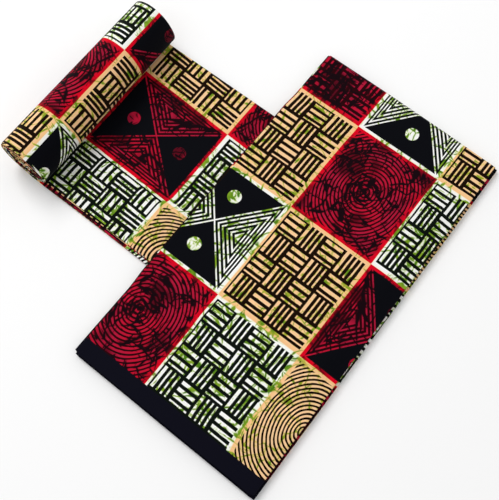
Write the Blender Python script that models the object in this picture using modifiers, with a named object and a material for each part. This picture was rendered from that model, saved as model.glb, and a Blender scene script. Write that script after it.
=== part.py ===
# Printed cotton cloth: a folded panel lying across a pleated strip whose far end is rolled up.
# Metres, +Z up. The cloth rests on z = 0, and the origin is the middle of the ground it covers.
# The panel runs along Y with its fold at +Y, and the strip runs from under it towards the roll at -X.

import math
from collections import namedtuple

import bmesh
import bpy

LEAF_WALL = 0.0012  # the outermost leaf with the air it holds
SEAM_GAP = 0.0003  # between pieces that touch

# The cloth is pleated back and forth into a pack of leaves as wide as one pleat
PACK_THICKNESS = 0.0043
LAYERED_INSET = 0.0009  # how far a groove between layers goes in from their edges
INSET_FADE = 0.012  # the grooves die out over this length before a fold across the pack

PANEL_THICKNESS = 0.0100  # the pack folded over on itself, lying loosely
PANEL_LEFT_AT_FOLD = -0.0128
PANEL_LEFT_AT_SELVAGE = -0.0146
PANEL_RIGHT_AT_FOLD = 0.2200
PANEL_RIGHT_AT_SELVAGE = 0.2268
PANEL_FOLD_LEFT_Y = 0.2275
PANEL_FOLD_RIGHT_Y = 0.2232
PANEL_SELVAGE_Y = -0.2252
PANEL_COLUMNS = 14
PANEL_ROWS = 40
FOLD_STEPS = 7

STRIP_LOWER_Y = -0.0995
STRIP_UPPER_Y = 0.1242
STRIP_HIDDEN_END_X = 0.1800
STRIP_COLUMNS = 8
STRIP_ROWS = 4

# Where the panel climbs over the strip
DRAPE_MARGIN_X = 0.0180
DRAPE_MARGIN_Y = 0.0120
DRAPE_RUN = 0.0260

ROLL_FAR_X = -0.2285
ROLL_LOWER_Y = -0.1041
ROLL_UPPER_Y = 0.1270
# Radius at the bottom, where the strip turns up into the roll: the roll is looser at its lower end
ROLL_RADIUS_AT_LOWER_Y = 0.0325
ROLL_RADIUS_AT_UPPER_Y = 0.0311
ROLL_TURNS = 5
ROLL_STEPS = 32  # round one turn
ROLL_END_GROOVE = 0.0020  # between turns, at the ends of the roll
ROLL_TELESCOPE = 0.0005  # how far each turn sits inside the one around it
OUTER_LEAF_START = 1.0  # degrees round the roll from its lowest line, turning towards -X
OUTER_LEAF_END = 345.0
OUTER_LEAF_COLUMNS = 44
OUTER_LEAF_ROWS = 4

# How far the edges of each layer stand out past the top leaf, in metres, from the lowest layer up
PanelLayer = namedtuple("PanelLayer", "left right_at_fold right_at_selvage selvage")
PANEL_LAYERS = (
    PanelLayer(0.0002, 0.0034, -0.0006, 0.0021),
    PanelLayer(-0.0008, 0.0037, -0.0004, 0.0023),
    PanelLayer(0.0003, 0.0035, -0.0009, 0.0018),
    PanelLayer(-0.0006, -0.0008, -0.0006, -0.0006),
    PanelLayer(0.0001, -0.0004, -0.0011, 0.0007),
    PanelLayer(-0.0005, -0.0006, -0.0004, -0.0004),
)
StripLayer = namedtuple("StripLayer", "lower upper")
STRIP_LAYERS = (
    StripLayer(0.0050, -0.0006),
    StripLayer(0.0056, -0.0014),
    StripLayer(0.0038, -0.0004),
)

PRINT_COLOUR = (0.42, 0.06, 0.04, 1.0)
HIDDEN_COLOUR = (0.10, 0.05, 0.05, 1.0)


def clear_scene():
    for old in list(bpy.data.objects):
        bpy.data.objects.remove(old, do_unlink=True)


def cotton(name, colour):
    material = bpy.data.materials.new(name)
    material.use_nodes = True
    shader = material.node_tree.nodes["Principled BSDF"]
    shader.inputs["Base Color"].default_value = colour
    shader.inputs["Roughness"].default_value = 0.8
    shader.inputs["Metallic"].default_value = 0.0
    return material


def finish(name, shape, material):
    mesh = bpy.data.meshes.new(name)
    bmesh.ops.recalc_face_normals(shape, faces=shape.faces)
    shape.to_mesh(mesh)
    shape.free()
    mesh.materials.append(material)
    mesh.shade_smooth()
    mesh.set_sharp_from_angle(angle=math.radians(40))
    piece = bpy.data.objects.new(name, mesh)
    cloth.objects.link(piece)
    return piece


def blend(start, end, share):
    return start + (end - start) * share


def eased(share):
    share = min(max(share, 0.0), 1.0)
    return share * share * (3.0 - 2.0 * share)


# A leaf is an open grid whose points a rule places, given a wall on its lower side
def leaf(name, columns, rows, place, material):
    shape = bmesh.new()
    bmesh.ops.create_grid(shape, x_segments=columns, y_segments=rows, size=0.5)
    for point in shape.verts:
        point.co = place(point.co.x + 0.5, point.co.y + 0.5)
    mesh = bpy.data.meshes.new(name)
    shape.to_mesh(mesh)
    shape.free()
    mesh.materials.append(material)
    mesh.shade_smooth()
    piece = bpy.data.objects.new(name, mesh)
    cloth.objects.link(piece)
    wall = piece.modifiers.new("Wall", "SOLIDIFY")
    wall.thickness = LEAF_WALL
    wall.offset = -1.0
    wall.use_even_offset = True
    return piece


# A solid of hidden layers is a grid raised level by level, whose points a rule then places
def layered_solid(name, columns, rows, levels, place, material):
    shape = bmesh.new()
    bmesh.ops.create_grid(shape, x_segments=columns, y_segments=rows, size=0.5)
    top = list(shape.faces)
    for level in range(levels):
        raised = bmesh.ops.extrude_face_region(shape, geom=top)["geom"]
        if level > 0:
            bmesh.ops.delete(shape, geom=top, context="FACES")
        top = [item for item in raised if isinstance(item, bmesh.types.BMFace)]
        risen = [item for item in raised if isinstance(item, bmesh.types.BMVert)]
        bmesh.ops.translate(shape, verts=risen, vec=(0.0, 0.0, 1.0))
    for point in shape.verts:
        point.co = place(point.co.x + 0.5, point.co.y + 0.5, round(point.co.z))
    return finish(name, shape, material)


# Height that the strip lifts the panel to at a place on the ground
def climb(x, y):
    low = eased((y - STRIP_LOWER_Y + DRAPE_MARGIN_Y + DRAPE_RUN) / DRAPE_RUN)
    high = eased((STRIP_UPPER_Y + DRAPE_MARGIN_Y + DRAPE_RUN - y) / DRAPE_RUN)
    end = eased((STRIP_HIDDEN_END_X + DRAPE_MARGIN_X + DRAPE_RUN - x) / DRAPE_RUN)
    return (PACK_THICKNESS + SEAM_GAP) * low * high * end


PANEL_LAYERS_THICKNESS = PANEL_THICKNESS - LEAF_WALL - SEAM_GAP
FOLD_MIDDLE = PANEL_LAYERS_THICKNESS / 2.0
FOLD_RADIUS = PANEL_THICKNESS - FOLD_MIDDLE
FOLD_SWEEP = math.pi / 2.0 + math.asin(FOLD_MIDDLE / FOLD_RADIUS)


# The line that the fold turns round, at a share of the way across the panel
def fold_line_y(across):
    return blend(PANEL_FOLD_LEFT_Y, PANEL_FOLD_RIGHT_Y, across) - FOLD_RADIUS


# The top leaf runs flat from its selvage to the fold line, and then round the fold to the ground
def place_panel_leaf(across, along):
    row = round(along * (PANEL_ROWS + FOLD_STEPS))
    flat = min(row / PANEL_ROWS, 1.0)
    left = blend(PANEL_LEFT_AT_SELVAGE, PANEL_LEFT_AT_FOLD, flat)
    right = blend(PANEL_RIGHT_AT_SELVAGE, PANEL_RIGHT_AT_FOLD, flat)
    x = blend(left, right, across)
    fold_y = fold_line_y(across)
    if row <= PANEL_ROWS:
        y = blend(PANEL_SELVAGE_Y, fold_y, flat)
        return x, y, climb(x, y) + PANEL_THICKNESS
    turn = FOLD_SWEEP * (row - PANEL_ROWS) / FOLD_STEPS
    return x, fold_y + FOLD_RADIUS * math.sin(turn), FOLD_MIDDLE + FOLD_RADIUS * math.cos(turn)


# Layers alternate between a crest at the middle of each and a groove between two
def layer_at(layers, level):
    return layers[min(level // 2, len(layers) - 1)]


def groove_at(level):
    return LAYERED_INSET if level % 2 == 0 else 0.0


def place_panel_layers(across, along, level):
    layer = layer_at(PANEL_LAYERS, level)
    height = PANEL_LAYERS_THICKNESS * level / (2 * len(PANEL_LAYERS))
    bulge = math.sqrt(max(FOLD_MIDDLE**2 - (height - FOLD_MIDDLE) ** 2, 0.0))
    fold_y = fold_line_y(across) + bulge
    selvage_y = PANEL_SELVAGE_Y - layer.selvage + groove_at(level)
    y = blend(selvage_y, fold_y, along)
    groove = groove_at(level) * eased((fold_line_y(across) - y) / INSET_FADE)
    left = blend(PANEL_LEFT_AT_SELVAGE, PANEL_LEFT_AT_FOLD, along) - layer.left + groove
    right = blend(
        PANEL_RIGHT_AT_SELVAGE + layer.right_at_selvage,
        PANEL_RIGHT_AT_FOLD + layer.right_at_fold,
        along,
    )
    x = blend(left, right - groove, across)
    return x, y, climb(x, y) + height


def roll_radius(y):
    along = (y - ROLL_LOWER_Y) / (ROLL_UPPER_Y - ROLL_LOWER_Y)
    return blend(ROLL_RADIUS_AT_LOWER_Y, ROLL_RADIUS_AT_UPPER_Y, along)


# The strip starts where the roll comes down onto the ground
def strip_start_x(y):
    return ROLL_FAR_X + roll_radius(y) + SEAM_GAP


def place_strip_leaf(across, along):
    y = blend(STRIP_LOWER_Y, STRIP_UPPER_Y, along)
    return blend(strip_start_x(y), STRIP_HIDDEN_END_X, across), y, PACK_THICKNESS


def place_strip_layers(across, along, level):
    layer = layer_at(STRIP_LAYERS, level)
    groove = groove_at(level)
    height = (PACK_THICKNESS - LEAF_WALL - SEAM_GAP) * level / (2 * len(STRIP_LAYERS))
    y = blend(STRIP_LOWER_Y - layer.lower + groove, STRIP_UPPER_Y + layer.upper - groove, along)
    return blend(strip_start_x(y), STRIP_HIDDEN_END_X - groove, across), y, height


# A point of the rolled pack, at an angle round from the lowest line of the roll towards -X.
# The pack winds inwards by its own thickness in each turn.
def roll_point(degrees, depth, y):
    widest = roll_radius(y)
    radius = widest - PACK_THICKNESS * degrees / 360.0 - depth
    angle = math.radians(degrees)
    return ROLL_FAR_X + widest - radius * math.sin(angle), y, widest - radius * math.cos(angle)


def place_roll_leaf(around, along):
    degrees = blend(OUTER_LEAF_START, OUTER_LEAF_END, around)
    return roll_point(degrees, 0.0, blend(ROLL_LOWER_Y, ROLL_UPPER_Y, along))


# The turns inside the outer leaf are one solid. Each end shows them as a spiral of crests,
# the middle of the pack, and grooves, where two turns meet, each turn a little further in.
def rolled_solid(name, material):
    shape = bmesh.new()
    skin = LEAF_WALL + SEAM_GAP
    count = ROLL_TURNS * ROLL_STEPS

    def end_of_roll(edge_y, inward):
        def points(depth, sink, last):
            found = []
            for step in range(last + 1):
                degrees = 360.0 * step / ROLL_STEPS
                turn = degrees / 360.0
                y = edge_y + inward * (sink + ROLL_TELESCOPE * turn)
                found.append(shape.verts.new(roll_point(degrees, skin + depth, y)))
            return found

        grooves = points(0.0, ROLL_END_GROOVE, count + ROLL_STEPS)
        crests = points(PACK_THICKNESS / 2.0, 0.0, count)
        for step in range(count):
            inner = step + ROLL_STEPS
            shape.faces.new((grooves[step], grooves[step + 1], crests[step + 1], crests[step]))
            shape.faces.new((crests[step], crests[step + 1], grooves[inner + 1], grooves[inner]))
        core = grooves[count:] + [crests[count]]
        middle_y = edge_y + inward * (ROLL_END_GROOVE + ROLL_TELESCOPE * (ROLL_TURNS + 1))
        middle = shape.verts.new(roll_point(0.0, roll_radius(middle_y), middle_y))
        for step in range(len(core)):
            shape.faces.new((core[step], core[(step + 1) % len(core)], middle))
        return grooves[: ROLL_STEPS + 1] + [crests[0]]

    lower = end_of_roll(ROLL_LOWER_Y, 1.0)
    upper = end_of_roll(ROLL_UPPER_Y, -1.0)
    for step in range(len(lower)):
        after = (step + 1) % len(lower)
        shape.faces.new((lower[step], lower[after], upper[after], upper[step]))
    return finish(name, shape, material)


clear_scene()
cloth = bpy.data.collections.new("wax_print_fabric")
bpy.context.scene.collection.children.link(cloth)

leaf(
    "panel_top_leaf",
    PANEL_COLUMNS,
    PANEL_ROWS + FOLD_STEPS,
    place_panel_leaf,
    cotton("printed_cotton_panel", PRINT_COLOUR),
)
layered_solid(
    "panel_hidden_layers",
    PANEL_COLUMNS,
    PANEL_ROWS,
    2 * len(PANEL_LAYERS),
    place_panel_layers,
    cotton("cotton_edges_panel", HIDDEN_COLOUR),
)
leaf(
    "strip_top_leaf",
    STRIP_COLUMNS,
    STRIP_ROWS,
    place_strip_leaf,
    cotton("printed_cotton_strip", PRINT_COLOUR),
)
layered_solid(
    "strip_hidden_layers",
    STRIP_COLUMNS,
    STRIP_ROWS,
    2 * len(STRIP_LAYERS),
    place_strip_layers,
    cotton("cotton_edges_strip", HIDDEN_COLOUR),
)
leaf(
    "roll_outer_leaf",
    OUTER_LEAF_COLUMNS,
    OUTER_LEAF_ROWS,
    place_roll_leaf,
    cotton("printed_cotton_roll", PRINT_COLOUR),
)
rolled_solid("roll_hidden_turns", cotton("cotton_edges_roll", HIDDEN_COLOUR))
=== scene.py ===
import math
from functools import partial

import bpy
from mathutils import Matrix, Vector, noise


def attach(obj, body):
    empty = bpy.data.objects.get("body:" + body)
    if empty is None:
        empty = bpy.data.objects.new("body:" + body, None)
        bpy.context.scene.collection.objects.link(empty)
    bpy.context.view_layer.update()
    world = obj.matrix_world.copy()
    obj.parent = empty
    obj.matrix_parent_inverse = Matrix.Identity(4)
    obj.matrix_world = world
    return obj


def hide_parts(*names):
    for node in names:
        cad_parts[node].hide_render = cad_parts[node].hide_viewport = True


# A folded length of wax print cotton: a panel lies across a pleated strip, whose far end is rolled up.
# Sizes in the dictionaries are in millimetres. The panel runs along Y and the strip along X, with the
# roll at -X. Each stretch is a leaf that shows, over a pack of its hidden leaves.

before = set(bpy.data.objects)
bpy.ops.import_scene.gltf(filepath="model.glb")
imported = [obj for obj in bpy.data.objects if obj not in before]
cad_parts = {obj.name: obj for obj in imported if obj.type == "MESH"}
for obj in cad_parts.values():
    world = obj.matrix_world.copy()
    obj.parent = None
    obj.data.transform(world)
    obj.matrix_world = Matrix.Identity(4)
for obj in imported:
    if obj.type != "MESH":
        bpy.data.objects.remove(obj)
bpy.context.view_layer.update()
mm = 0.001
edgeSteps = 4  # steps of a leaf's grid that follow its rounded edge
levelsPerLayer = 4  # levels of a pack's grid in one layer of cloth


def linear(hexColour):
    channels = [int(hexColour[i:i + 2], 16) / 255 for i in (0, 2, 4)]
    return [c / 12.92 if c <= 0.04045 else ((c + 0.055) / 1.055) ** 2.4 for c in channels] + [1.0]


# Adds a node, named with its operation if it has one, gives its open sockets the inputs in their order,
# and returns one of its outputs
def addNode(tree, kind, *inputs, take=0, **settings):
    kind, _, operation = kind.partition(" ")
    node = tree.nodes.new("ShaderNode" + kind)
    if operation:
        node.operation = operation
    for setting, value in settings.items():
        setattr(node, setting, value)
    openInputs = [socket for socket in node.inputs if socket.enabled]
    for socket, value in zip(openInputs, inputs):
        if isinstance(value, bpy.types.NodeSocket):
            tree.links.new(value, socket)
        elif value is not None:
            socket.default_value = value
    return [socket for socket in node.outputs if socket.enabled][take]


def blend(start, end, share):
    return start + (end - start) * share


def eased(share):
    share = min(max(share, 0.0), 1.0)
    return share * share * (3 - 2 * share)


# Smooth unevenness between -1 and 1, with swells of about the given size
def uneven(a, b, size, seed):
    return noise.noise(Vector((a / size, b / size, seed * 7.31)))


# How far the edge of a layer strays. A stray is how far at most, over what length, how much it changes
# from one layer to the next, and a seed.
def strayAt(stray, along, layer):
    most, size, change, seed = stray
    return most * uneven(along, layer * change, size, seed)


# How far in from the start a step of a leaf's grid lies, and how far it drops. The outer steps follow
# the rounded edge, where the cloth turns into its pleats.
def roundedStep(share, steps, length, radius):
    step = round(share * steps)
    fromEdge = min(step, steps - step)
    angle = math.pi / 2 * min(fromEdge / edgeSteps, 1.0)
    stepLength = (length - 2 * radius) / (steps - 2 * edgeSteps)
    inward = radius * (1 - math.cos(angle)) + stepLength * max(fromEdge - edgeSteps, 0)
    if step > steps / 2:
        inward = length - inward
    return inward, radius * (1 - math.sin(angle))


# The print. One repeat is a lattice of cells, whose colour steps round three and whose motif round four.
# Pairs are along and across the cloth, and scales are of noise, per millimetre.
printChart = {
    "cell": (127.2, 109.4),
    "stray": 0.9,  # how far hand waxing lets a line stray
    "strayScale": 0.03,
    "unevenScale": 0.16,  # ink lines are wider here and narrower there
    "unevenBar": 1.0,
    "unevenBlockLine": 0.8,
    "unevenRing": 0.3,  # share of the pitch
    "selvageBand": (-7.2, 12.8),  # middle and half width
    "basketMargin": (5.0, 1.2),
    "basketField": ((0.0, 118.2), (1.4, 104.4)),  # where its ink starts and ends, from the margin
    "block": (29.25, 25.35),
    "blockLine": (3.3, 3.4),
    "barStart": (5.1, 7.0),
    "barPitch": (7.75, 5.65),
    "barInk": (3.8, 3.7),
    "ringMargin": (3.7, 4.2),
    "ringPitch": (4.68, 3.86),
    "ringInk": (0.50, 0.46),  # share of the pitch, on light grounds and on red
    "ringWaver": (0.05, 0.4),  # scale, and by what share of the pitch
    "ringDrift": (4.0, 2.6),  # the middle drifts from cell to cell, in a wave of this size
    "ringDriftPhase": (-0.15, -0.32),
    "ringDriftByRow": (1.28, 1.72),
    "ringDriftByColumn": (0.86, -0.23),
    "triangleMargin": (3.7, 4.9),
    "triangleBase": 0.9,  # how far the triangles run past that margin, across the cloth
    "triangleGap": 0.8,
    "nestedPitch": (4.44, 3.6),
    "nestedStart": 2.1,
    "nestedInk": 0.59,
    "nestedCount": 4.4,
    "dotRadius": 7.9,
    "dotOff": 34.9,
}

dyes = {
    "white": "F7F7F4",
    "orange": "F8CC9A",
    "cream": "FAEBC0",
    "orangeEdge": "F8BC7A",
    "whiteWash": "C8DA80",
    "orangeWash": "E4C464",
    "green": "84A628",
    "deepGreen": "4A7C10",
    "olive": "A8AC30",
    "deepOlive": "5F8C1A",
    "red": "DC001E",
    "crimson": "AE1638",
    "maroon": "34020F",
    "ink": "06070D",
    "inkOnWhite": "080F08",
    "inkOnOrange": "160800",
    "inkOnRed": "280006",
    "inkInCracks": "14030A",
    # the navy of the selvage band: the print's navy ink, made a little lighter than the triangles' navy as
    # painted light
    "selvageInkPaintedLighter": "0B0B17",
}

# Where dye crept in through the cracked wax, as veins and as streaks. Scales are of noise, per millimetre.
# A pair gives the values or distances between which a thing comes in. Keys with "more" add to the streaks.
crackling = {
    "bend": 10,  # how far veins and streaks are bent at most
    "bendScale": 0.05,
    "veinNets": (((0, 0, 0), 0.034), ((311, 97, 0), 0.055), ((53, 211, 0), 0.022)),  # shift and scale
    "veinEndScale": 0.032,
    "veinEnds": (0.42, 0.52),
    "veinThinning": 3.0,  # how much a vein has narrowed where it ends
    "swellScale": 0.09,
    "swell": (0.50, 0.72),
    "thinnerOnOrange": 0.35,
    "streakNets": (((0.06, 0.20, 1), (0, 0, 0)), ((0.20, 0.06, 1), (40, 70, 0))),  # stretch and shift
    "streakDetail": (2.5, 0.55),
    "patchScale": 0.025,
    "morePatchy": 0.35,
    "undyedBars": 0.74,  # the rest of a basket's bars have taken the dye from end to end
    "moreInDyedBar": 0.05,
    "heart": (1.0, 6.5),  # counted in rings
    "moreAtHeart": 0.14,
    "moreInRedBasket": 0.034,
    "moreOnRed": 0.005,
    "moreInLightDot": 0.05,
    "moreOnOrange": -0.02,
    "edge": (2.0, 6.0),
    "edgeScale": 0.02,
    "edgeStretches": (0.50, 0.60),
    "moreAtEdge": (0.006, 0.04),
    "washStreak": (0.58, 0.635),
    "washVein": (0.5, 1.8),
    "washByVein": 0.6,  # how strong the wash beside a vein is
    "crackStreak": (0.625, 0.665),
    "crackVein": (0.3, 0.8),
    "fadeOnRed": (1.0, 5.0),  # cracks fade towards the edge of a red cell
    "fadedShare": 0.5,
}

# How the dyes of the grounds run together and darken, in the same terms
grounds = {
    "edgeReach": (2.0, 6.0),  # on white and on orange
    "edgeShare": 0.6,
    "washShare": 0.85,
    "toneScale": 0.10,
    "tone": (0.38, 0.62),
    "haze": (0.0, 0.13),
    "hazeShare": 0.85,
    "hazeByWash": 0.75,
    "clearEdge": (0.0, 5.0),  # near the edge of a red cell only this share of the haze is left
    "clearShare": 0.5,
    "brightEdge": (2.0, 9.0),  # red is bright before this, and within the cell in some places
    "brightScale": 0.022,
    "bright": (0.42, 0.58),
    "dullShare": 0.68,
}


# A place on the print: its row and column, the colour and motif of its cell, and its distances
def cellAt(add, place):
    chart = printChart
    stray = add("TexNoise", place, chart["strayScale"], 1.0, take=1)
    stray = add("VectorMath SUBTRACT", stray, (0.5, 0.5, 0.5))
    strayed = add("VectorMath MULTIPLY_ADD", stray, (chart["stray"],) * 3, place)
    along = add("SeparateXYZ", strayed, take=0)
    across = add("SeparateXYZ", strayed, take=1)
    row = add("Math FLOOR", add("Math DIVIDE", along, chart["cell"][0]))
    column = add("Math FLOOR", add("Math DIVIDE", across, chart["cell"][1]))
    colour = add("Math FLOORED_MODULO", add("Math ADD", row, column), 3.0)
    motif = add("Math FLOORED_MODULO", add("Math MULTIPLY_ADD", column, 2.0, row), 4.0)
    fromStart = [add("Math FLOORED_MODULO", *pair) for pair in zip((along, across), chart["cell"])]
    fromMiddle = [add("Math SUBTRACT", start, size / 2) for start, size in zip(fromStart, chart["cell"])]
    off = [add("Math ABSOLUTE", distance) for distance in fromMiddle]
    edges = [add("Math SUBTRACT", size / 2, distance) for distance, size in zip(off, chart["cell"])]
    return {  # colour and motif are whole numbers, so a quarter is close enough to tell them apart
        "along": along,
        "row": row,
        "column": column,
        "isRed": add("Math COMPARE", colour, 0.0, 0.25),
        "isOrange": add("Math COMPARE", colour, 2.0, 0.25),
        "isRings": add("Math COMPARE", motif, 0.0, 0.25),
        "isTriangles": add("Math COMPARE", motif, 1.0, 0.25),
        "isBasket": add("Math GREATER_THAN", motif, 1.5),
        "fromStart": fromStart,
        "fromMiddle": fromMiddle,
        "off": off,
        "fromEdge": add("Math MINIMUM", *edges),
        "uneven": add("Math SUBTRACT", add("TexNoise", place, chart["unevenScale"], 1.0), 0.5),
    }


# A basket of four by four blocks, whose bars run along and across by turns, and which bars are all dyed
def basketMotif(add, cell):
    chart = printChart
    blocks = []
    bars = []
    barNumbers = []
    blockLines = []
    inField = 1.0
    for axis, fromStart in enumerate(cell["fromStart"]):
        field = add("Math SUBTRACT", fromStart, chart["basketMargin"][axis])
        start, end = chart["basketField"][axis]
        inField = add("Math MULTIPLY", inField, add("Math GREATER_THAN", field, start))
        inField = add("Math MULTIPLY", inField, add("Math LESS_THAN", field, end))
        block = add("Math FLOOR", add("Math DIVIDE", field, chart["block"][axis]))
        block = add("Math MINIMUM", block, 3.0)
        blocks.append(block)
        inside = add("Math MULTIPLY_ADD", block, -chart["block"][axis], field)
        width = add("Math MULTIPLY_ADD", cell["uneven"], chart["unevenBlockLine"], chart["blockLine"][axis])
        blockLines.append(add("Math LESS_THAN", inside, width))
        pitch = chart["barPitch"][axis]
        fromBars = add("Math SUBTRACT", inside, chart["barStart"][axis])
        width = add("Math MULTIPLY_ADD", cell["uneven"], chart["unevenBar"], chart["barInk"][axis])
        bar = add("Math LESS_THAN", add("Math FLOORED_MODULO", fromBars, pitch), width)
        bars.append(add("Math MULTIPLY", bar, add("Math GREATER_THAN", fromBars, 0.0)))
        barNumbers.append(add("Math FLOOR", add("Math DIVIDE", fromBars, pitch)))
    turned = add("Math FLOORED_MODULO", add("Math ADD", *blocks), 2.0)
    basket = add("Math MAXIMUM", add("Mix", turned, bars[1], bars[0]), add("Math MAXIMUM", *blockLines))
    barNumber = add("Mix", turned, barNumbers[1], barNumbers[0])
    rowSeed = add("Math MULTIPLY_ADD", cell["row"], 4.0, blocks[0])
    columnSeed = add("Math MULTIPLY_ADD", cell["column"], 4.0, blocks[1])
    barSeed = add("CombineXYZ", rowSeed, columnSeed, barNumber)
    dyedBar = add("Math GREATER_THAN", add("TexWhiteNoise", barSeed), crackling["undyedBars"])
    dyedBar = add("Math MULTIPLY", add("Math MULTIPLY", dyedBar, inField), cell["isBasket"])
    return add("Math MULTIPLY", basket, inField), dyedBar


# Rings a little longer along the cloth than across, cut off by a box, and the count of rings at a place
def ringMotif(add, cell, place):
    chart = printChart
    ringPlace = []
    for axis, fromMiddle in enumerate(cell["fromMiddle"]):
        phase = chart["ringDriftPhase"][axis]
        phase = add("Math MULTIPLY_ADD", cell["row"], chart["ringDriftByRow"][axis], phase)
        phase = add("Math MULTIPLY_ADD", cell["column"], chart["ringDriftByColumn"][axis], phase)
        drift = add("Math MULTIPLY", add("Math SINE", phase), chart["ringDrift"][axis])
        fromRingMiddle = add("Math SUBTRACT", fromMiddle, drift)
        ringPlace.append(add("Math DIVIDE", fromRingMiddle, chart["ringPitch"][axis]))
    ringCount = add("VectorMath LENGTH", add("CombineXYZ", *ringPlace))
    scale, share = chart["ringWaver"]
    waver = add("Math SUBTRACT", add("TexNoise", place, scale, 0.0), 0.5)
    ringCount = add("Math MULTIPLY_ADD", waver, share, ringCount)
    ringInk = add("Mix", cell["isRed"], *chart["ringInk"])
    ringInk = add("Math MULTIPLY_ADD", cell["uneven"], chart["unevenRing"], ringInk)
    rings = add("Math LESS_THAN", add("Math FRACT", ringCount), ringInk)
    for off, size, margin in zip(cell["off"], chart["cell"], chart["ringMargin"]):
        rings = add("Math MULTIPLY", rings, add("Math LESS_THAN", off, size / 2 - margin))
    return rings, ringCount


# Two solid triangles with a dot and two of nested lines, between the diagonals. Where they are solid, and
# the dots, are given too.
def triangleMotif(add, cell):
    chart = printChart
    offP, offQ = cell["off"]
    halfP, halfQ = [size / 2 - margin for size, margin in zip(chart["cell"], chart["triangleMargin"])]
    slope = math.hypot(halfP, halfQ)
    fromDiagonal = add("Math MULTIPLY", offQ, halfP / slope)
    fromDiagonal = add("Math MULTIPLY_ADD", offP, -halfQ / slope, fromDiagonal)
    stepsIn = add("Math SUBTRACT", fromDiagonal, chart["nestedStart"])
    stepsIn = add("Math DIVIDE", stepsIn, chart["nestedPitch"][0])
    stepsOut = add("Math DIVIDE", add("Math SUBTRACT", halfQ, offQ), chart["nestedPitch"][1])
    steps = add("Math MINIMUM", stepsIn, stepsOut)
    nested = add("Math FRACT", add("Math ADD", steps, chart["nestedInk"] / 2))
    nested = add("Math LESS_THAN", nested, chart["nestedInk"])
    nested = add("Math MULTIPLY", nested, add("Math LESS_THAN", steps, chart["nestedCount"]))
    nested = add("Math MULTIPLY", nested, add("Math GREATER_THAN", steps, -chart["nestedInk"] / 2))
    fromDot = add("CombineXYZ", add("Math SUBTRACT", offP, chart["dotOff"]), cell["fromMiddle"][1])
    fromDot = add("VectorMath LENGTH", fromDot)
    solid = add("Math GREATER_THAN", fromDot, chart["dotRadius"])
    solid = add("Math MULTIPLY", solid, add("Math LESS_THAN", fromDiagonal, -chart["triangleGap"]))
    triangles = add("Math MAXIMUM", nested, solid)
    triangles = add("Math MULTIPLY", triangles, add("Math LESS_THAN", offP, halfP))
    triangles = add("Math MULTIPLY", triangles, add("Math LESS_THAN", offQ, halfQ + chart["triangleBase"]))
    solid = add("Math MULTIPLY", solid, cell["isTriangles"])
    inDot = add("Math LESS_THAN", fromDot, chart["dotRadius"])
    return triangles, solid, add("Math MULTIPLY", inDot, cell["isTriangles"])


# Where dye has crept in, as a wash and as full cracks, and the patches where there is more of it
def crackedWax(add, cell, place, dyedBar, ringCount, inDot):
    wax = crackling
    bend = add("TexNoise", place, wax["bendScale"], 1.0, take=1)
    bent = add("VectorMath MULTIPLY_ADD", bend, (wax["bend"], wax["bend"], 0), place)

    # veins that swell and run out
    fromVein = 100.0
    for shift, scale in wax["veinNets"]:
        moved = add("VectorMath ADD", bent, shift)
        edge = add("Math DIVIDE", add("TexVoronoi", moved, scale, feature="DISTANCE_TO_EDGE"), scale)
        ending = add("TexNoise", moved, wax["veinEndScale"], 1.0)
        ending = add("MapRange", ending, *wax["veinEnds"], wax["veinThinning"], 0.0)
        fromVein = add("Math MINIMUM", fromVein, add("Math ADD", edge, ending))
    swell = add("MapRange", add("TexNoise", place, wax["swellScale"], 1.0), *wax["swell"], 0.0, 1.0)
    fromVein = add("Math SUBTRACT", fromVein, swell)
    fromVein = add("Math MULTIPLY_ADD", cell["isOrange"], wax["thinnerOnOrange"], fromVein)

    # streaks where the wax flaked, longer than wide
    patches = add("Math SUBTRACT", add("TexNoise", place, wax["patchScale"], 2.0), 0.5)
    streaks = []
    for stretch, shift in wax["streakNets"]:
        stretched = add("VectorMath MULTIPLY_ADD", bent, stretch, shift)
        streaks.append(add("TexNoise", stretched, 1.0, *wax["streakDetail"]))
    streak = add("Math MAXIMUM", *streaks)
    streak = add("Math MULTIPLY_ADD", patches, wax["morePatchy"], streak)
    streak = add("Math MULTIPLY_ADD", dyedBar, wax["moreInDyedBar"], streak)

    # they are heavier on red, most of all in its baskets and at the heart of its rings
    heart = add("MapRange", ringCount, *wax["heart"], wax["moreAtHeart"], 0.0)
    heart = add("Math MULTIPLY", cell["isRings"], heart)
    heavier = add("Math ADD", heart, wax["moreOnRed"])
    heavier = add("Math MULTIPLY_ADD", cell["isBasket"], wax["moreInRedBasket"], heavier)
    streak = add("Math MULTIPLY_ADD", cell["isRed"], heavier, streak)
    lightDot = add("Math MULTIPLY", inDot, add("Math SUBTRACT", 1.0, cell["isRed"]))
    streak = add("Math MULTIPLY_ADD", lightDot, wax["moreInLightDot"], streak)
    streak = add("Math MULTIPLY_ADD", cell["isOrange"], wax["moreOnOrange"], streak)

    # long stretches of the cells' edges have taken the dye too
    atEdge = add("MapRange", cell["fromEdge"], *wax["edge"], 1.0, 0.0)
    edgeDye = add("TexNoise", place, wax["edgeScale"], 1.0)
    edgeDye = add("MapRange", edgeDye, *wax["edgeStretches"], *wax["moreAtEdge"])
    streak = add("Math MULTIPLY_ADD", atEdge, edgeDye, streak)

    wash = add("MapRange", streak, *wax["washStreak"], 0.0, 1.0)
    veinWash = add("MapRange", fromVein, *wax["washVein"], wax["washByVein"], 0.0)
    cracks = add("MapRange", streak, *wax["crackStreak"], 0.0, 1.0)
    veinCracks = add("MapRange", fromVein, *wax["crackVein"], 1.0, 0.0)
    return add("Math MAXIMUM", wash, veinWash), add("Math MAXIMUM", cracks, veinCracks), patches


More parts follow.
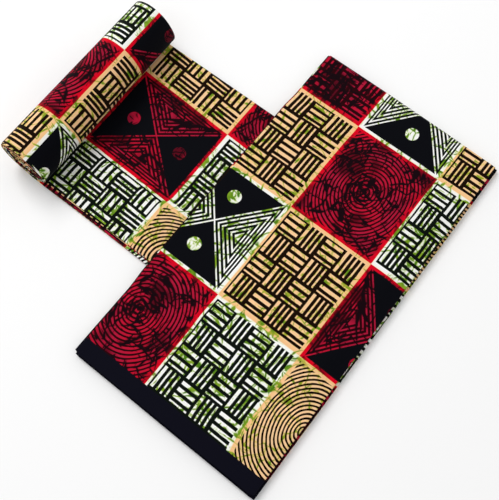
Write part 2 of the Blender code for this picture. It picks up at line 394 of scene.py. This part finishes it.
# White is creamy and orange deeper at the edges, where the dyes have run together, and cracks are green
def lightGround(add, cell, place, shades, wash, cracks):
    isOrange = cell["isOrange"]
    light = add("Mix", isOrange, shades["white"], shades["orange"], data_type="RGBA")
    edges = add("Mix", isOrange, shades["cream"], shades["orangeEdge"], data_type="RGBA")
    reach = add("Mix", isOrange, *grounds["edgeReach"])
    nearEdge = add("MapRange", cell["fromEdge"], 0.0, reach, grounds["edgeShare"], 0.0)
    light = add("Mix", nearEdge, light, edges, data_type="RGBA")
    washes = add("Mix", isOrange, shades["whiteWash"], shades["orangeWash"], data_type="RGBA")
    light = add("Mix", add("Math MULTIPLY", wash, grounds["washShare"]), light, washes, data_type="RGBA")
    tone = add("MapRange", add("TexNoise", place, grounds["toneScale"], 2.0), *grounds["tone"], 0.0, 1.0)
    greens = add("Mix", tone, shades["green"], shades["deepGreen"], data_type="RGBA")
    olives = add("Mix", tone, shades["olive"], shades["deepOlive"], data_type="RGBA")
    greens = add("Mix", isOrange, greens, olives, data_type="RGBA")
    return add("Mix", cracks, light, greens, data_type="RGBA")


# Red is brightest near the edges of its cell and here and there within, with a dark haze in patches
def redGround(add, cell, place, shades, wash, patches):
    haze = add("MapRange", patches, *grounds["haze"], 0.0, grounds["hazeShare"])
    haze = add("Math MAXIMUM", haze, add("Math MULTIPLY", wash, grounds["hazeByWash"]))
    clear = add("MapRange", cell["fromEdge"], *grounds["clearEdge"], grounds["clearShare"], 1.0)
    inward = add("MapRange", cell["fromEdge"], *grounds["brightEdge"], 0.0, 1.0)
    dull = add("TexNoise", place, grounds["brightScale"], 1.0)
    dull = add("MapRange", dull, *grounds["bright"], grounds["dullShare"], 1.0)
    dull = add("Math MULTIPLY", inward, dull)
    reds = add("Mix", dull, shades["red"], shades["crimson"], data_type="RGBA")
    return add("Mix", add("Math MULTIPLY", haze, clear), reds, shades["maroon"], data_type="RGBA")


# Threads are 0.3 mm apart. The weave is drawn at 0.9 mm, because the real one is too fine to show.
weave = {
    "scale": 0.35,
    "bumpStrength": 0.12,
    "bumpHeight": 0.2,
    "roughness": 0.75,
    "specular": 0.04,  # cotton without a glaze hardly shines
    "sheen": 0.02,
    "sheenRoughness": 0.5,
}


# Plain woven cotton, dyed through a cracked wax resist: dark ink lines, flat grounds that green or black
# dye has crept into along the cracks, and a matt face with a faint sheen
def waxPrintedCotton(name):
    material = bpy.data.materials.new(name)
    material.use_nodes = True
    tree = material.node_tree
    shader = tree.nodes["Principled BSDF"]
    add = partial(addNode, tree)
    shades = {dye: linear(dyes[dye]) for dye in dyes}

    place = add("VectorMath MULTIPLY", add("UVMap", uv_map="print"), (1000, 1000, 1000))
    cell = cellAt(add, place)
    basket, dyedBar = basketMotif(add, cell)
    rings, ringCount = ringMotif(add, cell, place)
    triangles, solid, inDot = triangleMotif(add, cell)
    wash, cracks, patches = crackedWax(add, cell, place, dyedBar, ringCount, inDot)

    light = lightGround(add, cell, place, shades, wash, cracks)
    reds = redGround(add, cell, place, shades, wash, patches)
    ground = add("Mix", cell["isRed"], light, reds, data_type="RGBA")
    faded = add("MapRange", cell["fromEdge"], *crackling["fadeOnRed"], crackling["fadedShare"], 1.0)
    cracks = add("Math MULTIPLY", cracks, faded)
    inkLines = add("Mix", cell["isTriangles"], add("Mix", cell["isRings"], basket, rings), triangles)
    dark = add("Math MAXIMUM", inkLines, add("Math MULTIPLY", cracks, cell["isRed"]))

    # the lines take a tinge of their ground, and only the solid triangles stay navy
    ink = add("Mix", cell["isOrange"], shades["inkOnWhite"], shades["inkOnOrange"], data_type="RGBA")
    inkOnRed = add("Mix", cracks, shades["inkOnRed"], shades["inkInCracks"], data_type="RGBA")
    ink = add("Mix", cell["isRed"], ink, inkOnRed, data_type="RGBA")
    ink = add("Mix", solid, ink, shades["ink"], data_type="RGBA")
    printed = add("Mix", dark, ground, ink, data_type="RGBA")
    # the navy selvage band is real print; its ink is a little lighter than the triangles' navy as painted
    # light
    band = add("Math COMPARE", cell["along"], *printChart["selvageBand"])
    printed = add("Mix", band, printed, shades["selvageInkPaintedLighter"], data_type="RGBA")
    tree.links.new(printed, shader.inputs["Base Color"])

    threads = [
        add("TexWave", place, weave["scale"], wave_type="BANDS", bands_direction=axis) for axis in ("X", "Y")
    ]
    height = add("Math MULTIPLY", add("Math ADD", *threads), 0.5)
    bump = add("Bump", weave["bumpStrength"], weave["bumpHeight"] * mm, None, height)
    tree.links.new(bump, shader.inputs["Normal"])
    shader.inputs["Roughness"].default_value = weave["roughness"]
    shader.inputs["Specular IOR Level"].default_value = weave["specular"]
    shader.inputs["Sheen Weight"].default_value = weave["sheen"]
    shader.inputs["Sheen Roughness"].default_value = weave["sheenRoughness"]
    print("printed", name)
    return material


# Gives every corner of every face its place on the print, in metres along and across the cloth
def layPrint(mesh, printPlaces):
    while mesh.uv_layers:
        mesh.uv_layers.remove(mesh.uv_layers[0])
    layer = mesh.uv_layers.new(name="print")
    for loop, (along, across) in enumerate(printPlaces):
        layer.data[loop].uv = along * mm, across * mm


# A leaf is a grid that a rule places point by point, with a thin wall on its lower side
def clothLeaf(name, columns, rows, place, thickness, material):
    bpy.ops.object.select_all(action="DESELECT")
    bpy.ops.mesh.primitive_grid_add(x_subdivisions=columns, y_subdivisions=rows, size=1.0)
    piece = bpy.context.object
    piece.name = piece.data.name = name
    placed = [place(v.co.x + 0.5, v.co.y + 0.5) for v in piece.data.vertices]
    layPrint(piece.data, [placed[loop.vertex_index][1] for loop in piece.data.loops])
    for vertex, (point, _) in zip(piece.data.vertices, placed):
        vertex.co = Vector(point) * mm
    piece.data.materials.append(material)
    wall = piece.modifiers.new("wall", "SOLIDIFY")
    wall.thickness = thickness * mm
    wall.offset = -1.0
    bpy.ops.object.modifier_apply(modifier="wall")
    bpy.ops.object.shade_smooth_by_angle(angle=math.radians(50))
    print("made", name, len(piece.data.polygons), "faces")
    return piece


# A pack is a grid raised level by level into a closed solid, which a rule then places.
# Each layer has a rounded edge: the levels run from a groove over a crest to the next groove.
def clothPack(name, columns, rows, layers, place, shiftOf, material):
    bpy.ops.object.select_all(action="DESELECT")
    bpy.ops.mesh.primitive_grid_add(x_subdivisions=columns, y_subdivisions=rows, size=1.0)
    piece = bpy.context.object
    piece.name = piece.data.name = name
    bpy.ops.object.mode_set(mode="EDIT")
    bpy.ops.mesh.select_all(action="SELECT")
    for _ in range(layers * levelsPerLayer):
        bpy.ops.mesh.extrude_region_move(TRANSFORM_OT_translate={"value": (0, 0, 1.0)})
    bpy.ops.mesh.select_all(action="SELECT")
    bpy.ops.mesh.normals_make_consistent(inside=False)
    bpy.ops.object.mode_set(mode="OBJECT")
    mesh = piece.data
    levels = [round(v.co.z) for v in mesh.vertices]
    numbers = [min(level // levelsPerLayer, layers - 1) for level in levels]
    placed = [place(v.co.x + 0.5, v.co.y + 0.5, *pair) for v, *pair in zip(mesh.vertices, levels, numbers)]
    printPlaces = []
    for face in mesh.polygons:
        shift = shiftOf(min(numbers[v] for v in face.vertices))
        for vertex in face.vertices:
            along, across = placed[vertex][1]
            printPlaces.append((along, across + shift))
    layPrint(mesh, printPlaces)
    for vertex, (point, _) in zip(mesh.vertices, placed):
        vertex.co = Vector(point) * mm
    mesh.materials.append(material)
    bpy.ops.object.shade_smooth_by_angle(angle=math.radians(60))
    print("made", name, len(mesh.polygons), "faces")
    return piece


# How far a groove between two layers goes in at a level: none at the crest of a layer
def grooveAt(level, depth):
    phase = (level % levelsPerLayer) / levelsPerLayer
    return depth * (1 - math.sqrt(max(0.0, 1 - (2 * phase - 1) ** 2)))


# The strip's own sizes come before the panel, which climbs over it
strip = {
    "thickness": 4.3,
    "leafWall": 0.5,
    "leafGap": 0.05,  # under the leaf
    "lowerY": -99.5,
    "upperY": 124.2,
    "endX": 180.0,
    "rollGap": 0.3,  # it ends this far from where the roll begins
    "edgeRadius": 0.8,
    "columns": 90,
    "rows": 60,
}

# The panel. Pairs are at the selvage and at the fold, unless they say otherwise.
panel = {
    "thickness": 10.0,
    "leafWall": 0.6,
    "leafGap": 0.05,
    "leftX": (-14.6, -12.8),
    "rightX": (224.6, 220.6),
    "selvageY": -225.2,
    "foldY": (227.5, 223.2),  # on the left and on the right
    "foldBulge": 1.2,
    "foldLow": 0.45,  # how far the middle of the fold lies under the middle of the pack
    "edgeRadius": 1.1,  # of the long folded sides
    "cornerCut": 1.8,  # how far the corners at the selvage are rounded off
    "cornerReach": 4.0,
    "cornerShare": 0.125,  # the share of the length in which the corners die out
    "ripples": ((0.25, 60, 1), (0.12, 22, 2)),  # height, size and seed
    "rippleFade": 8.0,
    "climbHeight": 4.6,  # how far it rises over the strip, and how near and how gently
    "climbMargin": (18.0, 12.0),  # along X and Y
    "climbRun": 26.0,
    "columns": 84,
    "rows": 150,
    "foldRows": 16,
}

panelPack = {
    "layers": 12,
    "columns": 40,
    "rows": 130,
    "width": 240.0,
    "inset": 0.6,  # of its sides behind the leaf's
    "groove": 0.5,
    "grooveFade": 12.0,
    "foldGap": 0.1,  # under the leaf's turn
    "sideStray": (0.5, 90, 31, 4),
    "selvageStray": (0.5, 70, 9, 3),
    "lowerOut": (2.8, 3.5),  # how far the lower half, folded under, stands out on the right
    "lowerOutAtSelvage": 2.0,
    "lowerCorner": 0.3,  # the share of the corners' cut that it has
    "leftLayer": 11,  # the layer that peeps out on the left, how far, and how many layers it takes along
    "leftOut": 1.8,
    "leftSpread": 2.5,
    "leftShift": 133.0,  # how much further across the cloth the print of that layer lies
    "outerShift": 118.0,  # and of the one that stands out on the right
    "layerShift": 41.0,  # and of each other layer from the one below it
}

# Lines of the print on the panel, in X and Y: a row line, and two column lines given at two places
panelPrint = {
    "rowLine": 42.7,
    "rowNumber": 2,
    "givenAtY": (-200.0, 200.0),
    "firstColumn": (66.4, 69.3),
    "secondColumn": (175.4, 177.3),
    "outerWidths": (113.5, 104.0),  # of the columns to the left and right of those lines
    "driftStart": -185.0,  # the second line strays outwards below this line
    "driftRun": 40.0,
    "drift": 6.5,
}


def climb(x, y):
    run = panel["climbRun"]
    marginX, marginY = panel["climbMargin"]
    rise = eased((y - strip["lowerY"] + marginY + run) / run)
    rise *= eased((strip["upperY"] + marginY + run - y) / run)
    return panel["climbHeight"] * rise * eased((strip["endX"] + marginX + run - x) / run)


def panelPrintAt(x, y):
    cellLong, cellWide = printChart["cell"]
    low, high = panelPrint["givenAtY"]
    share = (y - low) / (high - low)
    first = blend(*panelPrint["firstColumn"], share)
    second = blend(*panelPrint["secondColumn"], share)
    second += panelPrint["drift"] * eased((panelPrint["driftStart"] - y) / panelPrint["driftRun"])
    widthLeft, widthRight = panelPrint["outerWidths"]
    across = 1 + min(x - first, 0) / widthLeft + max(x - second, 0) / widthRight
    across += min(max(x - first, 0) / (second - first), 1)
    along = cellLong * panelPrint["rowNumber"] + (y - panelPrint["rowLine"])
    return along, cellWide * across


foldMiddle = (panel["thickness"] - panel["leafWall"]) / 2 - panel["foldLow"]
foldRadius = panel["thickness"] - foldMiddle
foldSweep = math.pi / 2 + math.asin(foldMiddle / foldRadius)


def panelFoldY(across):
    bulge = panel["foldBulge"] * math.sin(math.pi * across)
    return blend(*panel["foldY"], across) + bulge - foldRadius


# How far the selvage edge draws in at its two corners
def cornerIn(fromSide, along):
    near = max(0.0, 1 - fromSide / panel["cornerReach"])
    return panel["cornerCut"] * near * near * eased(1 - along / panel["cornerShare"])


def placePanelLeaf(across, along):
    row = round(along * (panel["rows"] + panel["foldRows"]))
    flat = min(row / panel["rows"], 1.0)
    left = blend(*panel["leftX"], flat)
    right = blend(*panel["rightX"], flat)
    inward, drop = roundedStep(across, panel["columns"], right - left, panel["edgeRadius"])
    x = left + inward
    foldY = panelFoldY(across)
    fromSide = min(x - left, right - x)
    y = blend(panel["selvageY"], foldY, flat) + cornerIn(fromSide, flat)
    if row <= panel["rows"]:
        ripple = sum(height * uneven(x, y, size, seed) for height, size, seed in panel["ripples"])
        z = climb(x, y) + panel["thickness"] + ripple * eased(fromSide / panel["rippleFade"]) - drop
        return (x, y, z), panelPrintAt(x, y)
    angle = foldSweep * (row - panel["rows"]) / panel["foldRows"]
    radius = foldRadius - drop
    point = (x, foldY + radius * math.sin(angle), foldMiddle + radius * math.cos(angle))
    printAlong, printAcross = panelPrintAt(x, foldY)
    return point, (printAlong + foldRadius * angle, printAcross)


def placePanelPack(across, along, level, number):
    thickness = panel["thickness"] - panel["leafWall"] - panel["leafGap"]
    height = thickness * level / (panelPack["layers"] * levelsPerLayer)
    middle = thickness / 2
    bulge = math.sqrt(max((middle - panel["leafGap"]) ** 2 - (height - middle) ** 2, 0.0))
    foldY = panelFoldY(across) + bulge * (foldRadius - panel["leafWall"] - panelPack["foldGap"]) / middle
    lower = 1.0 if number < panelPack["layers"] // 2 else 0.0
    groove = grooveAt(level, panelPack["groove"])
    selvageOut = panelPack["lowerOutAtSelvage"] * lower
    selvageOut += strayAt(panelPack["selvageStray"], across * panelPack["width"], number)
    y = blend(panel["selvageY"] - selvageOut + groove, foldY, along)
    fade = eased((panelFoldY(across) - y) / panelPack["grooveFade"])
    groove *= fade
    stray = strayAt(panelPack["sideStray"], y, number) * fade
    leftOut = panelPack["leftOut"] * eased(1 - abs(number - panelPack["leftLayer"]) / panelPack["leftSpread"])
    left = blend(*panel["leftX"], along) + panelPack["inset"] + groove - stray - leftOut
    rightOut = blend(*panelPack["lowerOut"], along) * lower
    right = blend(*panel["rightX"], along) - panelPack["inset"] + rightOut - groove + stray
    x = blend(left, right, across)
    cornerShare = blend(1.0, panelPack["lowerCorner"], lower)
    y += cornerIn(min(x - left, right - x), along) * cornerShare
    return (x, y, climb(x, y) + height), panelPrintAt(x, y)


def panelShift(number):
    if number == panelPack["leftLayer"]:
        return panelPack["leftShift"]
    if number == panelPack["layers"] // 2 - 1:
        return panelPack["outerShift"]
    return panelPack["layerShift"] * number


cotton = waxPrintedCotton("wax printed cotton, panel")
panelCloth = clothLeaf(
    "panelCloth",
    panel["columns"],
    panel["rows"] + panel["foldRows"],
    placePanelLeaf,
    panel["leafWall"],
    cotton,
)
panelLayers = clothPack(
    "panelLayers",
    panelPack["columns"],
    panelPack["rows"],
    panelPack["layers"],
    placePanelPack,
    panelShift,
    cotton,
)

# The strip's pack and print. Its rows of the print run along X and its columns down Y.
stripPack = {
    "layers": 7,
    "columns": 90,
    "rows": 20,
    "length": 400.0,
    "groove": 0.35,
    "upperInset": 0.5,
    "lowerStray": (0.5, 80, 17, 5),
    "upperStray": (0.4, 80, 17, 6),
    "lowerOut": (5.0, 5.0, 5.0, 5.0, 5.0, 1.2, 0.0),  # how far each layer stands out at the lower side
    "shifts": (100.5, 123.5, 146.5, 169.5, 192.5, 413.4, 238.5),  # of its print, across the cloth
}

stripPrint = {
    "rowLines": (-175.5, -46.0),
    "rowNumber": 1,
    "firstColumn": (79.1, 72.5),  # at those two lines
    "secondColumn": (-31.5, -34.6),
    "columnNumber": 2,
    "lowerDrift": 4.5,  # the print strays towards the roll below a line
    "driftStart": -25.0,
    "driftRun": 20.0,
}

roll = {
    "farX": -228.5,
    "lowerY": -104.1,
    "upperY": 127.0,
    "radius": (32.5, 31.1),  # at its lower and its upper end
    "pack": 4.3,  # how much further in each turn lies
    "sag": 3.2,  # how far it bulges over the strip
    "sagDegrees": (292.0, 52.0),
    "leafWall": 0.5,
    "leafLowerY": -101.4,
    "leafEdgeRadius": 0.8,
    "leafDegrees": (1.0, 345.0),
    "leafStray": (1.6, 50, 9),
    "leafStrayShare": 0.25,  # the share of its length over which the leaf's lower edge strays
    "columns": 200,
    "rows": 90,
}

rollPack = {
    "turns": 6.3,
    "layers": 7,
    "columns": 300,
    "rows": 6,
    "leafGap": 0.05,
    "leafEnd": (375.0, 30.0),  # it lies under the leaf to here, and comes out over this much of a turn
    "groove": 0.8,
    "stray": (0.5, 120, 23, 7),
    "inset": 0.3,
    "turnInset": 0.15,  # each turn sits this much further in at the ends
    "outerShift": 280.0,  # of the print on its edges, across the cloth
    "turnShift": 41.0,
    "layerShift": 0.9,
}

rollPrint = {
    "stretch": 0.925,
    "rowDegrees": 203.0,
    "rowNumber": 2,
    "columnLines": (-44.7, 65.1),
    "columnNumber": 1,
}


def rollRadius(y):
    share = (y - roll["lowerY"]) / (roll["upperY"] - roll["lowerY"])
    return blend(*roll["radius"], share)


# Where the strip lies next to the roll
def stripStartX(y):
    return roll["farX"] + rollRadius(y) + strip["rollGap"]


def stripPrintAt(x, y):
    cellLong, cellWide = printChart["cell"]
    nearX, farX = stripPrint["rowLines"]
    x += stripPrint["lowerDrift"] * eased((stripPrint["driftStart"] - y) / stripPrint["driftRun"])
    share = (x - nearX) / (farX - nearX)
    first = blend(*stripPrint["firstColumn"], share)
    second = blend(*stripPrint["secondColumn"], share)
    across = cellWide * (stripPrint["columnNumber"] + (y - first) / (second - first))
    return cellLong * (stripPrint["rowNumber"] + share), across


def placeStripLeaf(across, along):
    width = strip["upperY"] - strip["lowerY"]
    inward, drop = roundedStep(along, strip["rows"], width, strip["edgeRadius"])
    y = strip["lowerY"] + inward
    x = blend(stripStartX(y), strip["endX"], across)
    return (x, y, strip["thickness"] - drop), stripPrintAt(x, y)


def placeStripPack(across, along, level, number):
    thickness = strip["thickness"] - strip["leafWall"] - strip["leafGap"]
    height = thickness * level / (stripPack["layers"] * levelsPerLayer)
    groove = grooveAt(level, stripPack["groove"])
    lowerEdge = strip["lowerY"] - stripPack["lowerOut"][number] + groove
    lowerEdge -= strayAt(stripPack["lowerStray"], across * stripPack["length"], number)
    upperEdge = strip["upperY"] - stripPack["upperInset"] - groove
    upperEdge += strayAt(stripPack["upperStray"], across * stripPack["length"], number)
    y = blend(lowerEdge, upperEdge, along)
    x = blend(stripStartX(y), strip["endX"] - groove, across)
    return (x, y, height), stripPrintAt(x, y)


def stripShift(number):
    return stripPack["shifts"][number]


cotton = waxPrintedCotton("wax printed cotton, strip")
stripCloth = clothLeaf(
    "stripCloth", strip["columns"], strip["rows"], placeStripLeaf, strip["leafWall"], cotton
)
stripLayers = clothPack(
    "stripLayers",
    stripPack["columns"],
    stripPack["rows"],
    stripPack["layers"],
    placeStripPack,
    stripShift,
    cotton,
)


# A point of the roll. Degrees are counted from its lowest line towards -X.
def rollPoint(degrees, depth, y):
    widest = rollRadius(y)
    sagMiddle, sagReach = roll["sagDegrees"]
    sag = roll["sag"] * eased(1 - abs(degrees % 360 - sagMiddle) / sagReach)
    radius = widest - roll["pack"] * degrees / 360 - depth + sag
    angle = math.radians(degrees)
    return roll["farX"] + widest - radius * math.sin(angle), y, widest - radius * math.cos(angle)


def rollPrintAt(degrees, y):
    cellLong, cellWide = printChart["cell"]
    turned = math.radians(rollPrint["rowDegrees"] - degrees)
    radius = roll["radius"][0] - roll["pack"] * (degrees + rollPrint["rowDegrees"]) / 720
    first, second = rollPrint["columnLines"]
    across = cellWide * (rollPrint["columnNumber"] + (y - first) / (second - first))
    return cellLong * rollPrint["rowNumber"] + turned * radius * rollPrint["stretch"], across


def placeRollLeaf(around, along):
    degrees = blend(*roll["leafDegrees"], around)
    length = roll["upperY"] - roll["leafLowerY"]
    inward, drop = roundedStep(along, roll["rows"], length, roll["leafEdgeRadius"])
    most, size, seed = roll["leafStray"]
    stray = most * uneven(degrees, 0, size, seed) * eased(1 - along / roll["leafStrayShare"])
    y = roll["leafLowerY"] + inward + stray
    return rollPoint(degrees, drop, y), rollPrintAt(degrees, y)


def placeRollPack(around, along, level, number):
    turn = rollPack["turns"] * around
    degrees = 360 * turn
    leafEnd, comingOut = rollPack["leafEnd"]
    underLeaf = (roll["leafWall"] + rollPack["leafGap"]) * eased((leafEnd - degrees) / comingOut)
    share = level / (rollPack["layers"] * levelsPerLayer)
    depth = blend(roll["pack"] - rollPack["leafGap"], underLeaf, share)
    sink = grooveAt(level, rollPack["groove"]) + rollPack["turnInset"] * turn
    sink += strayAt(rollPack["stray"], degrees, number) + rollPack["inset"]
    y = blend(roll["lowerY"] + sink, roll["upperY"] - sink, along)
    printAlong, printAcross = rollPrintAt(degrees, y)
    return rollPoint(degrees, depth, y), (printAlong, printAcross + rollPack["turnShift"] * turn)


def rollShift(number):
    return rollPack["outerShift"] + rollPack["layerShift"] * (rollPack["layers"] - 1 - number)


cotton = waxPrintedCotton("wax printed cotton, roll")
rollCloth = clothLeaf("rollCloth", roll["columns"], roll["rows"], placeRollLeaf, roll["leafWall"], cotton)
rollTurns = clothPack(
    "rollTurns",
    rollPack["columns"],
    rollPack["rows"],
    rollPack["layers"],
    placeRollPack,
    rollShift,
    cotton,
)

# What each piece stands for
for piece, node, slot in (
    (panelCloth, "panel_top_leaf", "printed_cotton_panel"),
    (panelLayers, "panel_hidden_layers", "cotton_edges_panel"),
    (stripCloth, "strip_top_leaf", "printed_cotton_strip"),
    (stripLayers, "strip_hidden_layers", "cotton_edges_strip"),
    (rollCloth, "roll_outer_leaf", "printed_cotton_roll"),
    (rollTurns, "roll_hidden_turns", "cotton_edges_roll"),
):
    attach(piece, "root")
    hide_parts(node)

# Camera, light and floor, in metres
camera = {
    "location": (0.2547, -0.2302, 0.8640),
    "degrees": (18.227, 1.606, 38.160),
    "sensor": 36.0,  # sensor and lens in millimetres
    "lens": 59.2,
}
studio = {
    "floorColour": "FFFFFF",
    "floorSize": 6.0,
    "floorZ": -0.0002,  # just under the cloth
    "floorRoughness": 0.9,
    "floorSpecular": 0.1,
    "worldStrength": 0.64,
    "lightLocation": (-1.9, 0.5, 2.6),
    "lightSize": 1.4,
    "lightPower": 50.0,
}

bpy.ops.object.select_all(action="DESELECT")
bpy.ops.object.camera_add(
    location=camera["location"], rotation=[math.radians(angle) for angle in camera["degrees"]]
)
cameraObject = bpy.context.object
cameraObject.data.sensor_width = camera["sensor"]
cameraObject.data.lens = camera["lens"]
bpy.context.scene.camera = cameraObject

world = bpy.data.worlds.new("studio")
world.use_nodes = True
world.node_tree.nodes["Background"].inputs["Color"].default_value = (1, 1, 1, 1)
world.node_tree.nodes["Background"].inputs["Strength"].default_value = studio["worldStrength"]
bpy.context.scene.world = world
bpy.context.scene.view_settings.view_transform = "Standard"

bpy.ops.mesh.primitive_plane_add(size=studio["floorSize"], location=(0, 0, studio["floorZ"]))
floor = bpy.context.object
floor.name = "floor"
paper = bpy.data.materials.new("matt white paper")
paper.use_nodes = True
paperShader = paper.node_tree.nodes["Principled BSDF"]
paperShader.inputs["Base Color"].default_value = linear(studio["floorColour"])
paperShader.inputs["Roughness"].default_value = studio["floorRoughness"]
paperShader.inputs["Specular IOR Level"].default_value = studio["floorSpecular"]
floor.data.materials.append(paper)

bpy.ops.object.light_add(type="AREA", location=studio["lightLocation"])
softbox = bpy.context.object
softbox.data.size = studio["lightSize"]
softbox.data.energy = studio["lightPower"]
softbox.rotation_euler = (-Vector(studio["lightLocation"])).to_track_quat("-Z", "Y").to_euler()
print("set up camera, light and floor")
